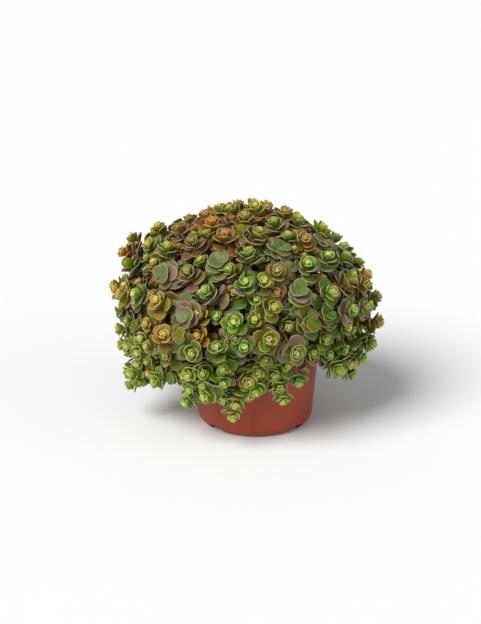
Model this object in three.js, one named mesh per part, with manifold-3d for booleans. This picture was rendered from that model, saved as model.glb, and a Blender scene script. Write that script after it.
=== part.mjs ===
// Coral reef sedum, a trailing stonecrop, in a round plastic nursery pot with its soil.
// Millimetres, +Z up, the viewer at -Y. The origin is the centre of the pot's underside.
import * as THREE from "three";
import { mergeVertices } from "three/addons/utils/BufferGeometryUtils.js";
import Module from "manifold-3d";

const wasm = await Module();
wasm.setup();

// Driving dimensions

const POT = {
  sides: 32,
  height: 100,
  rimRadius: 60,
  rimBand: 8,
  rimStep: 1.2,
  rimWall: 2.2,
  wallTopRadius: 58.6,
  heelTopRadius: 51,
  heelHeight: 10,
  baseRadius: 43.5,
  wall: 1.2,
  notches: 4,
  notchWidth: 15,
  notchHeight: 4.6,
  notchInnerRadius: 37,
};
const SOIL = { top: 90, gap: 0.3, holeDepth: 8, holeRadius: 2.3 };

// The mound that the leafy tips stand on: round to the side, flatter on top, seen from its middle.
const MOUND = { x: -8, y: 0, z: 104, reach: 110, crown: 85, flatness: 1.1 };
// Where the mound swells or sinks: azimuth, elevation and spread in degrees, swell in mm.
const SWELLS = [
  { azimuth: 168, elevation: 29, spread: 17, swell: 9 },
  { azimuth: 150, elevation: 56, spread: 24, swell: -7 },
  { azimuth: 45, elevation: 58, spread: 20, swell: -4 },
  { azimuth: 300, elevation: -5, spread: 30, swell: -9 },
  { azimuth: 5, elevation: 35, spread: 30, swell: -3 },
  { azimuth: 95, elevation: 20, spread: 30, swell: 3 },
];
// How far down from the zenith the mound's foliage reaches, and where it stops short or hangs lower.
const SKIRT = {
  angle: 89,
  lift: { azimuth: 306, spread: 30, angle: 8 },
  drop: { azimuth: 225, spread: 50, angle: 6 },
};

// The mound's stems: their directions in a spiral, and how they rise from the soil and fork.
const DOME = {
  stems: 29,
  spiralStart: 40,
  shootsPerStem: 3,
  clusterRadius: 17,
  forkDepth: 27,
  rootRadius: 41,
  rootSpread: 0.9,
  rise: 0.42,
  leastRise: 36,
  arrival: 0.32,
  lift: 0.12,
  forks: [0.86, 0.92],
  stops: [0, 0.3, 0.58],
};
// How the mound's tips settle: the room each wants, and the share of a shortfall made up in each round.
const SETTLING = { rounds: 60, spacing: 30, push: 0.3, pushFromTrails: 0.6, pull: 0.25 };

// Stems that trail over the rim: azimuth in degrees, the tip's distance from the axis, height, side shoots.
const TRAILS = [
  [184, 105, 46, 3],
  [198, 104, 55, 3],
  [216, 96, 59, 3],
  [232, 86, 45, 3],
  [244, 86, 56, 3],
  [256, 76, 36, 3],
  [270, 77, 62, 2],
  [286, 76, 52, 2],
  [304, 74, 84, 1],
  [322, 78, 66, 2],
  [342, 81, 64, 3],
  [358, 88, 70, 3],
  [16, 98, 76, 2],
  [40, 95, 62, 2],
  [64, 92, 78, 2],
  [88, 94, 54, 2],
  [112, 92, 76, 2],
  [137, 98, 56, 2],
  [161, 104, 64, 2],
];
const TRAIL = {
  rootRadius: 47,
  arch: 30,
  overRim: 16,
  overRimOut: 3,
  hang: 13,
  hangIn: 3,
  tipOut: 4,
  facing: -4,
  firstFork: 0.5,
  lastFork: 0.88,
  mostSideShoots: 3,
  sideLead: 0.08,
  sideOffset: 14,
  sideOut: 5,
  sideTurn: 0.35,
  stops: [0, 0.13, 0.26, 0.4],
};

// Stems have three sides, and a collar at each fork whose faces the twigs are drawn out of.
const STEM = { radius: 1.6, twigRadius: 1.25, collar: 3, twigStops: [0.5, 1], twigBend: 0.35 };
const BENDS = [0, 5, -5, 10, -10, 16, -16, 24, -24, 32, -32];
const LAST_BEND = 0.4;

// A shoot's leaves: their size against the shoot's, their rise above its plane in degrees, and their corners.
const WHORLS = [
  { length: 1, width: 1.05, rise: 12, cup: 0.9, corners: 5 },
  { length: 0.8, width: 0.87, rise: 38, cup: 1, corners: 4 },
  { length: 0.46, width: 0.43, rise: 62, cup: 0.6, corners: 3 },
];
const SHOOT = { domeSize: 17, trailSize: 16, spread: 0.12, coreRadius: 1.9, coreStep: 2.1, coreTip: 1.2 };
const LEAF = { middle: 0.58, turn: 5, tilt: 4, smallest: 0.92, largest: 1.06 };
// A leaf without room is tried smaller. Its stand-in in that test is a little larger than the leaf.
const LEAF_SIZES = [1, 0.86, 0.72, 0.58];
const LEAF_MARGIN = 1.04;
const LEAST_OVERLAP = 1e-4;

const COLOURS = { pot: 0xa4492f, soil: 0x2e221b, moundLeaves: 0x8a7a3c, trailingLeaves: 0x7c9a45 };

// Small helpers

const UP = new THREE.Vector3(0, 0, 1);
const vec = (x, y, z) => new THREE.Vector3(x, y, z);
const radians = THREE.MathUtils.degToRad;

// A seeded draw between 0 and 1: the same number always gives the same value.
function draw(seed) {
  const wave = Math.sin(seed * 12.9898 + 78.233) * 43758.5453;
  return wave - Math.floor(wave);
}

const drawBetween = (seed, low, high) => low + (high - low) * draw(seed);

// The unit vector at an azimuth and an elevation, both in radians.
function heading(azimuth, elevation) {
  const flat = Math.cos(elevation);
  return vec(flat * Math.cos(azimuth), flat * Math.sin(azimuth), Math.sin(elevation));
}

// The part of a vector that is square to a unit axis, as a unit vector.
const squareTo = (v, axis) => v.clone().addScaledVector(axis, -v.dot(axis)).normalize();

// An angle that is full at one azimuth and falls off over a spread to either side, all in degrees.
function localAngle({ azimuth, spread, angle }, degrees) {
  const apart = THREE.MathUtils.euclideanModulo(degrees - azimuth + 180, 360) - 180;
  return angle * Math.exp(-((apart / spread) ** 2));
}

function solidOf(geometry) {
  const bare = new THREE.BufferGeometry().setAttribute("position", geometry.getAttribute("position"));
  if (geometry.index) bare.setIndex(geometry.index);
  const merged = mergeVertices(bare, 1e-4);
  return new wasm.Manifold(
    new wasm.Mesh({
      numProp: 3,
      vertProperties: merged.attributes.position.array,
      triVerts: new Uint32Array(merged.index.array),
    }),
  );
}

function geometryOf(solid) {
  const { vertProperties, triVerts } = solid.getMesh();
  return new THREE.BufferGeometry()
    .setAttribute("position", new THREE.BufferAttribute(vertProperties, 3))
    .setIndex(new THREE.BufferAttribute(triVerts, 1));
}

function meshOf(name, geometry, color, roughness) {
  const material = new THREE.MeshStandardMaterial({ color, roughness, metalness: 0 });
  const mesh = new THREE.Mesh(geometry, material);
  mesh.name = name;
  return mesh;
}

// A profile of radius and height, turned round the Z axis.
function turned(profile, sides) {
  const lathe = new THREE.LatheGeometry(
    profile.map(([radius, height]) => new THREE.Vector2(radius, height)),
    sides,
  );
  return solidOf(lathe.rotateX(Math.PI / 2));
}

// The pot: a tapered shell with a rounded heel, a rim band and four drain notches in the heel

function potWallRadius(height) {
  const share = (height - POT.heelHeight) / (POT.height - POT.rimBand - POT.heelHeight);
  return THREE.MathUtils.lerp(POT.heelTopRadius, POT.wallTopRadius, share);
}

// The rounded heel, from the underside up to the wall.
function heel() {
  return [0, 45, 90].map((degrees) => {
    const turn = radians(degrees);
    const radius = POT.baseRadius + (POT.heelTopRadius - POT.baseRadius) * Math.sin(turn);
    return [radius, POT.heelHeight * (1 - Math.cos(turn))];
  });
}

// The inside from the axis up to the heel's top, moved in by a gap.
function potInside(gap) {
  const inset = POT.wall + gap;
  return [
    [0, inset],
    [POT.baseRadius, inset],
    [POT.heelTopRadius - inset, POT.heelHeight],
  ];
}

function pot() {
  const bandBottom = POT.height - POT.rimBand;
  const profile = [
    [0, 0],
    ...heel(),
    [POT.wallTopRadius, bandBottom],
    [POT.rimRadius, bandBottom + POT.rimStep],
    [POT.rimRadius, POT.height],
    [POT.rimRadius - POT.rimWall, POT.height],
    [POT.wallTopRadius - POT.wall, bandBottom],
    ...potInside(0).toReversed(),
  ];
  let shell = turned(profile, POT.sides);
  const reach = POT.rimRadius - POT.notchInnerRadius;
  for (let i = 0; i < POT.notches; i += 1) {
    const notch = new THREE.BoxGeometry(reach, POT.notchWidth, 2 * POT.notchHeight);
    notch.translate(POT.notchInnerRadius + reach / 2, 0, 0);
    notch.rotateZ(((i + 0.5) / POT.notches) * 2 * Math.PI);
    shell = shell.subtract(solidOf(notch));
  }
  return meshOf("pot", geometryOf(shell), COLOURS.pot, 0.55);
}

// The soil: a puck that fills the pot, with a plain hole for each stem

function soil(stems) {
  const radius = potWallRadius(SOIL.top) - POT.wall - SOIL.gap;
  const profile = [...potInside(SOIL.gap), [radius, SOIL.top], [0, SOIL.top]];
  let puck = turned(profile, POT.sides);
  for (const { curve } of stems) {
    const hole = new THREE.CylinderGeometry(SOIL.holeRadius, SOIL.holeRadius, 2 * SOIL.holeDepth, 3);
    hole.rotateX(Math.PI / 2).rotateZ(Math.PI / 2).translate(curve.v0.x, curve.v0.y, SOIL.top);
    puck = puck.subtract(solidOf(hole));
  }
  return meshOf("potting_soil", geometryOf(puck), COLOURS.soil, 1);
}

// The mound: where the leafy tips stand

const middle = vec(MOUND.x, MOUND.y, MOUND.z);

function moundRadius(direction) {
  const rise = Math.max(0, direction.z) ** MOUND.flatness;
  let radius = MOUND.reach - (MOUND.reach - MOUND.crown) * rise;
  for (const { azimuth, elevation, spread, swell } of SWELLS) {
    const apart = direction.angleTo(heading(radians(azimuth), radians(elevation)));
    radius += swell * Math.exp(-((apart / radians(spread)) ** 2));
  }
  return radius;
}

function skirtAngle(azimuth) {
  const degrees = THREE.MathUtils.radToDeg(azimuth);
  return radians(SKIRT.angle - localAngle(SKIRT.lift, degrees) + localAngle(SKIRT.drop, degrees));
}

const onMound = (direction) => direction.clone().multiplyScalar(moundRadius(direction)).add(middle);

// Spreads the stems' directions over the mound in a sunflower spiral.
function domeDirections() {
  const goldenAngle = Math.PI * (3 - Math.sqrt(5));
  return Array.from({ length: DOME.stems }, (_, i) => {
    const azimuth = (i + 1) * goldenAngle + radians(DOME.spiralStart);
    const drop = ((i + 0.5) / DOME.stems) * (1 - Math.cos(skirtAngle(azimuth)));
    return heading(azimuth, Math.PI / 2 - Math.acos(1 - drop));
  });
}

// A few tips round each stem's own direction, before they settle.
function tipsAround(direction, seed) {
  const side = squareTo(Math.abs(direction.z) > 0.9 ? vec(1, 0, 0) : UP, direction);
  const centre = direction.clone().multiplyScalar(moundRadius(direction));
  return Array.from({ length: DOME.shootsPerStem }, (_, i) => {
    const turn = (draw(seed) + i / DOME.shootsPerStem) * 2 * Math.PI;
    const offset = side.clone().applyAxisAngle(direction, turn).multiplyScalar(DOME.clusterRadius);
    return onMound(offset.add(centre).normalize());
  });
}

// Tips push each other apart until each has room for its leaves, and stay on the mound near their stem.
function settle(clusters, fixed) {
  const tips = clusters.flatMap(({ home, tips: own }) => own.map((point) => ({ point, home })));
  const pushed = (move, point, other, share) => {
    const away = point.clone().sub(other);
    const short = Math.max(0, SETTLING.spacing - away.length());
    move.addScaledVector(away.normalize(), short * share);
  };
  for (let round = 0; round < SETTLING.rounds; round += 1) {
    const moves = tips.map(({ point, home }) => {
      const move = vec(0, 0, 0);
      tips.forEach((other) => other.point !== point && pushed(move, point, other.point, SETTLING.push));
      fixed.forEach((other) => pushed(move, point, other, SETTLING.pushFromTrails));
      const back = home.clone().sub(point);
      const stray = Math.max(0, back.length() - DOME.clusterRadius);
      return move.addScaledVector(back.normalize(), stray * SETTLING.pull);
    });
    tips.forEach(({ point }, i) => point.copy(onMound(moves[i].add(point).sub(middle).normalize())));
  }
}

const numbered = (name, index) => `${name}_${String(index + 1).padStart(2, "0")}`;

// A stem that arches over the rim and hangs, with side shoots left and right of it in turn.
function trailStem([degrees, radius, height, sideShoots], index) {
  const azimuth = radians(degrees);
  const outward = heading(azimuth, 0);
  const side = vec(-outward.y, outward.x, 0);
  const at = (distance, z) => outward.clone().multiplyScalar(distance).setZ(z);
  const curve = new THREE.CubicBezierCurve3(
    at(TRAIL.rootRadius, SOIL.top),
    at(TRAIL.rootRadius, SOIL.top + TRAIL.arch),
    at(radius + TRAIL.overRimOut, POT.height + TRAIL.overRim),
    at(radius - TRAIL.hangIn, height + TRAIL.hang),
  );
  const size = SHOOT.trailSize;
  const seed = 900 + index * 10;
  const shoots = Array.from({ length: sideShoots }, (_, i) => {
    const place = (i + (TRAIL.mostSideShoots + 1 - sideShoots) / 2) / TRAIL.mostSideShoots;
    const fork = THREE.MathUtils.lerp(TRAIL.firstFork, TRAIL.lastFork, place);
    const sign = i % 2 ? -1 : 1;
    const base = curve.getPoint(fork + TRAIL.sideLead).addScaledVector(side, sign * TRAIL.sideOffset);
    const axis = outward.clone().addScaledVector(side, sign * TRAIL.sideTurn).normalize();
    return { fork, base: base.addScaledVector(outward, TRAIL.sideOut), axis, size, seed: seed + i };
  });
  const axis = heading(azimuth, radians(TRAIL.facing));
  shoots.push({ fork: 1, base: at(radius + TRAIL.tipOut, height), axis, size, seed: seed + sideShoots });
  return { name: numbered("trailing_stem", index), curve, stops: TRAIL.stops, shoots };
}

// A stem of the mound, which rises from the soil and forks under its tips.
function domeStem({ direction, tips }, index) {
  const azimuth = Math.atan2(direction.y, direction.x);
  const share = Math.acos(direction.z) / skirtAngle(azimuth);
  const root = heading(azimuth, 0).multiplyScalar(DOME.rootRadius * share ** DOME.rootSpread).setZ(SOIL.top);
  const end = direction.clone().multiplyScalar(moundRadius(direction) - DOME.forkDepth).add(middle);
  const length = root.distanceTo(end);
  const rise = Math.max(DOME.rise * length, DOME.leastRise * share);
  const leave = root.clone().addScaledVector(UP, rise);
  const arrive = end.clone().addScaledVector(direction, -DOME.arrival * length);
  const shoots = tips.map((base, i) => {
    const seed = index * 10 + i;
    const size = SHOOT.domeSize * (1 + SHOOT.spread * drawBetween(seed + 300, -0.5, 0.5));
    const axis = base.clone().sub(middle).normalize().addScaledVector(UP, DOME.lift).normalize();
    return { fork: DOME.forks[i] ?? 1, base, axis, size, seed };
  });
  const curve = new THREE.CubicBezierCurve3(root, leave, arrive, end);
  return { name: numbered("leafy_stem", index), curve, stops: DOME.stops, shoots };
}

function layOutStems() {
  const trails = TRAILS.map(trailStem);
  const clusters = domeDirections().map((direction, i) => {
    return { direction, home: onMound(direction), tips: tipsAround(direction, i + 50) };
  });
  settle(
    clusters,
    trails.flatMap(({ shoots }) => shoots.map(({ base }) => base)),
  );
  return [...trails, ...clusters.map(domeStem)];
}

// Growth: a stem is one closed skin, and twigs and leaves are drawn out of its three-cornered faces

class Skin {
  constructor() {
    this.corners = [];
    this.faces = [];
    this.places = [];
  }

  corner(point) {
    this.corners.push(point.clone());
    return this.corners.length - 1;
  }

  at(index) {
    return this.corners[index];
  }

  centre(face) {
    return face.reduce((sum, index) => sum.add(this.at(index)), vec(0, 0, 0)).divideScalar(3);
  }

  // From a ring's centre towards its first corner, so that the next ring isn't twisted.
  armOf(ring) {
    return this.at(ring[0]).clone().sub(this.centre(ring));
  }

  normal([a, b, c]) {
    const edge = this.at(b).clone().sub(this.at(a));
    return edge.cross(this.at(c).clone().sub(this.at(a))).normalize();
  }

  solid() {
    return new wasm.Manifold(
      new wasm.Mesh({
        numProp: 3,
        vertProperties: new Float32Array(this.corners.flatMap((p) => p.toArray())),
        triVerts: new Uint32Array(this.faces.flat()),
      }),
    );
  }

  // Three corners round a point, square to a direction, the first of them towards a given side.
  ring(point, direction, towards, radius, turn = 0) {
    const arm = squareTo(towards, direction).multiplyScalar(radius);
    return [0, 1, 2].map((i) => {
      const angle = turn + (i * 2 * Math.PI) / 3;
      return this.corner(arm.clone().applyAxisAngle(direction, angle).add(point));
    });
  }

  // The six faces between two rings: each even one stands on a side of the lower ring.
  band(low, high) {
    return [0, 1, 2].flatMap((i) => {
      const next = (i + 1) % 3;
      return [
        [low[i], low[next], high[i]],
        [low[next], high[next], high[i]],
      ];
    });
  }

  // Draws a face out along points into a tube, and returns its last ring.
  sweep(face, points, radius) {
    let ring = face;
    let from = this.centre(face);
    points.forEach((point, i) => {
      const ahead = points[i + 1] ?? point;
      const direction = ahead.clone().sub(from).normalize();
      const next = this.ring(point, direction, this.armOf(ring), radius);
      this.faces.push(...this.band(ring, next));
      ring = next;
      from = point;
    });
    return ring;
  }

  // Whether an edge of one face goes through another face that it has no corner in common with.
  crossesItself() {
    const boxOf = (face) => new THREE.Box3().setFromPoints(face.map((index) => this.at(index)));
    const boxes = this.faces.map(boxOf);
    return this.faces.some((face, i) =>
      this.faces.some((other, j) => i !== j && boxes[i].intersectsBox(boxes[j]) && this.pierces(face, other)),
    );
  }

  pierces(face, other) {
    return face.some((corner, i) => {
      const next = face[(i + 1) % 3];
      if (other.includes(corner) || other.includes(next)) return false;
      const from = this.at(corner);
      const ray = new THREE.Ray(from, this.at(next).clone().sub(from).normalize());
      const hit = ray.intersectTriangle(...other.map((index) => this.at(index)), false, vec(0, 0, 0));
      return hit !== null && hit.distanceTo(from) < this.at(next).distanceTo(from);
    });
  }

  // Draws a leaf out of a face whose first two corners are its lower edge and whose third is above.
  leaf([left, right, top], { along, over, length, width, cup, corners }) {
    const root = this.centre([left, right, top]);
    const side = squareTo(this.at(right).clone().sub(this.at(left)), along);
    const middleX = length * LEAF.middle;
    const rim = Array.from({ length: corners }, (_, i) => {
      const turn = (((corners - 1) / 2 - i) * 2 * Math.PI) / (corners + 1);
      const across = Math.sin(turn);
      const point = root.clone().addScaledVector(along, middleX + (length - middleX) * Math.cos(turn));
      point.addScaledVector(side, (width / 2) * across);
      return this.corner(point.addScaledVector(over, cup * Math.abs(across)));
    });
    const fold = Math.floor((corners - 1) / 2);
    const rightSide = rim.slice(0, fold + 1);
    const leftSide = rim.slice(fold);
    this.fan(top, [left, ...rim.toReversed(), right]);
    this.fan(left, [right, rim[fold]]);
    this.fan(right, rightSide);
    this.fan(left, leftSide);
  }

  // Faces from one corner to each pair along a row.
  fan(corner, row) {
    row.slice(1).forEach((next, i) => this.faces.push([corner, row[i], next]));
  }
}

// How one leaf of a shoot stands: which way, how long and how cupped, with a seeded share of chance.
function leafOf(skin, shoot, whorl, face, seed) {
  const { length, width, rise, cup, corners } = WHORLS[whorl];
  const outward = squareTo(skin.centre(face).sub(shoot.base), shoot.axis);
  outward.applyAxisAngle(shoot.axis, radians(drawBetween(seed, -LEAF.turn, LEAF.turn)));
  const tilt = radians(rise + drawBetween(seed + 0.03, -LEAF.tilt, LEAF.tilt));
  const size = shoot.size * drawBetween(seed + 0.06, LEAF.smallest, LEAF.largest);
  const along = outward.clone().multiplyScalar(Math.cos(tilt)).addScaledVector(shoot.axis, Math.sin(tilt));
  const over = outward.clone().multiplyScalar(-Math.sin(tilt)).addScaledVector(shoot.axis, Math.cos(tilt));
  return { along, over, length: size * length, width: size * width, cup, corners };
}

const scaled = (leaf, size) => ({ ...leaf, length: leaf.length * size, width: leaf.width * size });

// A leaf as large as its neighbours let it be, or a bare face where there is no room for one.
function growLeaf(skin, shoot, whorl, place, face, sizes) {
  const key = `${shoot.seed}/${whorl}/${place}`;
  const leaf = leafOf(skin, shoot, whorl, face, shoot.seed + whorl * 0.37 + place * 0.11);
  skin.places.push({ key, corners: face.map((index) => skin.at(index)), leaf });
  const size = sizes.get(key);
  if (size) skin.leaf(face, scaled(leaf, size));
  else skin.faces.push(face);
}

// The tip of a shoot: three whorls of three leaves, each turned by half a gap from the one below.
function growShoot(skin, ring, shoot, sizes) {
  const arm = skin.armOf(ring);
  let low = ring;
  WHORLS.forEach((_, whorl) => {
    const last = whorl === WHORLS.length - 1;
    const height = whorl * SHOOT.coreStep + (last ? SHOOT.coreTip : SHOOT.coreStep);
    const point = shoot.base.clone().addScaledVector(shoot.axis, height);
    const turn = ((whorl + 1) * Math.PI) / 3;
    const high = last
      ? Array(3).fill(skin.corner(point))
      : skin.ring(point, shoot.axis, arm, SHOOT.coreRadius, turn);
    skin.band(low, high).forEach((face, i) => {
      if (i % 2 === 0) growLeaf(skin, shoot, whorl, i / 2, face, sizes);
      else if (!last) skin.faces.push(face);
    });
    low = high;
  });
}

// A twig from a face to its shoot's foot, arriving along the shoot's axis.
function growTwig(skin, face, shoot, sizes) {
  const from = skin.centre(face);
  const bend = from.distanceTo(shoot.base) * STEM.twigBend;
  const leave = from.clone().addScaledVector(skin.normal(face), bend);
  const arrive = shoot.base.clone().addScaledVector(shoot.axis, -bend);
  const curve = new THREE.CubicBezierCurve3(from, leave, arrive, shoot.base);
  const points = STEM.twigStops.map((at) => curve.getPoint(at));
  growShoot(skin, skin.sweep(face, points, STEM.twigRadius), shoot, sizes);
}

// A stem with its twigs and shoots, and with every leaf that sizes gives a size to.
function growStem(stem, sizes) {
  const skin = new Skin();
  const foot = stem.curve.v0.clone().setZ(SOIL.top - SOIL.holeDepth + SOIL.gap);
  let ring = skin.ring(foot, UP, vec(1, 0, 0), STEM.radius);
  skin.faces.push(ring.toReversed());
  const sideShoots = stem.shoots.slice(0, -1);
  const collar = STEM.collar / stem.curve.getLength();
  const stops = [...stem.stops, ...sideShoots.flatMap(({ fork }) => [fork, fork + collar]), 1];
  stops.forEach((at, i) => {
    const radius = THREE.MathUtils.lerp(STEM.radius, STEM.twigRadius, at);
    const next = skin.ring(stem.curve.getPoint(at), stem.curve.getTangent(at), skin.armOf(ring), radius);
    const faces = skin.band(ring, next);
    const shoot = sideShoots.find(({ fork }) => fork === stops[i - 1]);
    if (shoot) {
      const wanted = shoot.base.clone().sub(skin.centre(ring));
      faces.sort((a, b) => skin.normal(b).dot(wanted) - skin.normal(a).dot(wanted));
      growTwig(skin, faces.shift(), shoot, sizes);
    }
    skin.faces.push(...faces);
    ring = next;
  });
  growTwig(skin, ring, stem.shoots.at(-1), sizes);
  return skin;
}

function meets(a, b) {
  const [p, q] = [a.boundingBox(), b.boundingBox()];
  const near = [0, 1, 2].every((i) => p.min[i] < q.max[i] && q.min[i] < p.max[i]);
  return near && a.intersect(b).volume() > LEAST_OVERLAP;
}

// A stem with its foot turned about the pot's axis and its last bend less far, without some side shoots.
function variant(stem, degrees, fewer) {
  const { v0, v1, v2, v3 } = stem.curve;
  const turn = (point, share) => point.clone().applyAxisAngle(UP, radians(degrees * share));
  const curve = new THREE.CubicBezierCurve3(turn(v0, 1), turn(v1, 1), turn(v2, LAST_BEND), v3);
  return { ...stem, curve, shoots: stem.shoots.slice(fewer) };
}

// Bends each stem until it is clear of itself, the pot and earlier stems, or else takes side shoots off.
function bendClear(stems, potSolid) {
  const taken = [potSolid];
  return stems.map((stem) => {
    const choices = stem.shoots.flatMap((_, fewer) => BENDS.map((degrees) => variant(stem, degrees, fewer)));
    const clear = choices.find((choice) => {
      const skin = growStem(choice, new Map());
      const solid = skin.solid();
      if (skin.crossesItself() || taken.some((other) => meets(solid, other))) return false;
      taken.push(solid);
      return true;
    });
    if (!clear) throw new Error(`${stem.name} can't be bent clear of the others`);
    return clear;
  });
}

// A leaf by itself as a closed solid, to see whether it has room.
function loneLeaf({ corners, leaf }, size) {
  const lone = new Skin();
  const root = corners.map((point) => lone.corner(point));
  lone.leaf(root, scaled(leaf, size * LEAF_MARGIN));
  lone.faces.push(root.toReversed());
  return lone.solid();
}

// Lets each leaf in turn grow as large as the pot, the bare stems and the leaves before it leave room for.
function sizeLeaves(stems, potSolid) {
  const bare = stems.map((stem) => growStem(stem, new Map()));
  const taken = [potSolid, ...bare.map((skin) => skin.solid())];
  const sizes = new Map();
  for (const place of bare.flatMap(({ places }) => places)) {
    const size = LEAF_SIZES.find((share) => {
      const solid = loneLeaf(place, share);
      if (taken.some((other) => meets(solid, other))) return false;
      taken.push(solid);
      return true;
    });
    sizes.set(place.key, size);
  }
  return sizes;
}

const plantPot = pot();
const potSolid = solidOf(plantPot.geometry);
const stems = bendClear(layOutStems(), potSolid);
const leafSizes = sizeLeaves(stems, potSolid);

const sedum = new THREE.Group();
sedum.add(plantPot, soil(stems));
for (const stem of stems) {
  const colour = stem.name.startsWith("trailing") ? COLOURS.trailingLeaves : COLOURS.moundLeaves;
  sedum.add(meshOf(stem.name, geometryOf(growStem(stem, leafSizes).solid()), colour, 0.45));
}

export default sedum;
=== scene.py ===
import math
from functools import partial
from itertools import combinations
from types import SimpleNamespace

import bpy
import numpy as np
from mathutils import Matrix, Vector


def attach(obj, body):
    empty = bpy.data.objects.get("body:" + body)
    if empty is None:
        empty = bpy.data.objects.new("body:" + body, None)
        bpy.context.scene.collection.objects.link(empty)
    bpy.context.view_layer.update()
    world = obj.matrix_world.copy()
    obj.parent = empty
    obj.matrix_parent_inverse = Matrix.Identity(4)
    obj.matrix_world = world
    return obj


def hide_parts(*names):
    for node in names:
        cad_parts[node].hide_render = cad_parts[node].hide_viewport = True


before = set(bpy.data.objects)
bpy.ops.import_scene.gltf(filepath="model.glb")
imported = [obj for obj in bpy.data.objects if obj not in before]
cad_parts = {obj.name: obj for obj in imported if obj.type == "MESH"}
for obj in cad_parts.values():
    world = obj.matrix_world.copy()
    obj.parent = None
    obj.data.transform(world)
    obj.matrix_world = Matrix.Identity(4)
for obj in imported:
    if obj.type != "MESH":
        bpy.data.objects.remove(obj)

bl_info = {
    "name": "Potted Coral Reef Sedum",
    "version": (1, 0, 0),
    "blender": (4, 5, 0),
    "location": "3D View > Sidebar > Sedum",
    "description": "Dresses the packed solids of a potted coral reef sedum, and lights it on a pale floor",
    "category": "Add Mesh",
}

# Lengths below are in millimetres, and this turns them to metres when a mesh is made.
MM = 0.001
UP = np.array([0.0, 0.0, 1.0])
# A way that no stem or tip points along, from which the ways across them are worked out.
ASIDE = np.array([0.31, 0.42, 0.85])
FULL_TURN = 2 * math.pi
ANY_TURN = 6.3
GOLDEN_ANGLE = math.pi * (3 - math.sqrt(5))

# The plant is laid out here by the same rule and numbers as its solids, so each piece stays at its node.
POT_TOP = 100.0
SOIL_TOP = 90.0
STEM_FOOT = 82.3
# How high a tip's top stands over its base in the solids.
APEX_HEIGHT = 5.4
# The mound that the leafy tips stand on, and how its stems rise and fork.
MOUND = SimpleNamespace(
    middle=np.array([-8.0, 0.0, 104.0]), reach=110.0, crown=85.0, flatness=1.1, skirt=89.0,
    stems=29, spiral_start=40.0, tips_per_stem=3, cluster=17.0, fork_depth=27.0, forks=(0.86, 0.92, 1.0),
    root=41, root_spread=0.9, rise=0.42, least_rise=36, arrival=0.32,
    tip_size=17, size_spread=0.12, lift=0.12,
)
# Azimuth, elevation and spread in degrees, and the swell in millimetres.
SWELLS = (
    (168, 29, 17, 9), (150, 56, 24, -7), (45, 58, 20, -4), (300, -5, 30, -9), (5, 35, 30, -3),
    (95, 20, 30, 3),
)
# Where the mound's foliage stops short or hangs lower: azimuth, spread and angle in degrees.
SKIRT_LIFT = (306, 30, 8)
SKIRT_DROP = (225, 50, 6)
# How tips push each other apart, and are pulled back to their own stem.
SETTLING = SimpleNamespace(rounds=60, spacing=30, push=0.3, push_from_trails=0.6, pull=0.25)
# A trailing stem's route from the soil over the rim, and its side shoots.
TRAIL = SimpleNamespace(
    root=47, arch=30, over_rim=16, over_rim_out=3, hang=13, hang_in=3, tip_out=4, facing=-4,
    first_fork=0.5, last_fork=0.88, most_side_shoots=3, side_lead=0.08, side_offset=14, side_out=5,
    side_turn=0.35, tip_size=16.0, first_seed=900,
)
# Azimuth in degrees, the tip's distance from the axis, its height, and how many side shoots.
TRAILS = (
    (184, 105, 46, 3), (198, 104, 55, 3), (216, 96, 59, 3), (232, 86, 45, 3), (244, 86, 56, 3),
    (256, 76, 36, 3), (270, 77, 62, 2), (286, 76, 52, 2), (304, 74, 84, 1), (322, 78, 66, 2),
    (342, 81, 64, 3), (358, 88, 70, 3), (16, 98, 76, 2), (40, 95, 62, 2), (64, 92, 78, 2),
    (88, 94, 54, 2), (112, 92, 76, 2), (137, 98, 56, 2), (161, 104, 64, 2),
)
# How far a stem may be turned to be clear of others, in degrees, and its share at each point of the curve.
BENDS = (0, 5, -5, 10, -10, 16, -16, 24, -24, 32, -32)
BEND_SHARES = (1, 1, 0.4, 0)
# Tips that stand proud of the rest, as in the photograph: azimuth, distance from the axis, height, and the
# elevation that the tip faces.
STRAYS = (
    (176, 110, 149, 15), (171, 104, 158, 30), (178, 118, 121, 5), (184, 114, 86, -5), (188, 112, 75, -5),
    (186, 108, 36, -20), (190, 104, 52, -15), (197, 99, 47, -20), (205, 95, 60, -20), (212, 90, 59, -20),
    (220, 86, 61, -20), (228, 84, 66, -10), (236, 94, 73, -5), (241, 86, 64, -15), (271, 76, 74, 0),
    (277, 75, 84, 5), (281, 74, 71, -5), (284, 75, 60, -15), (289, 73, 78, 0), (251, 80, 50, -15),
    (258, 78, 46, -20), (233, 86, 57, -15), (229, 84, 51, -25), (268, 12, 192, 80), (330, 25, 188, 60),
    (0, 101, 112, 10), (355, 103, 92, 0), (350, 98, 76, -10), (357, 97, 72, -15), (345, 91, 66, -20),
    (340, 84, 54, -25), (334, 84, 66, -15), (326, 82, 64, -20),
)


# Small helpers


def draw(seed):
    """A seeded draw between 0 and 1, the same as in the solids' own rule."""
    wave = math.sin(seed * 12.9898 + 78.233) * 43758.5453
    return wave - math.floor(wave)


def heading(azimuth, elevation):
    """The unit vector at an azimuth and an elevation in degrees."""
    around, above = math.radians(azimuth), math.radians(elevation)
    flat = math.cos(above)
    return np.array([flat * math.cos(around), flat * math.sin(around), math.sin(above)])


def unit(vectors):
    """Vectors at length 1, where a zero vector stays zero."""
    vectors = np.asarray(vectors, float)
    length = np.linalg.norm(vectors, axis=-1, keepdims=True)
    return vectors / np.where(length == 0, 1, length)


def degrees_between(ways, azimuth, elevation):
    """The angle between each unit vector and a heading, in degrees."""
    return np.degrees(np.arccos(np.clip(ways @ heading(azimuth, elevation), -1, 1)))


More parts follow.
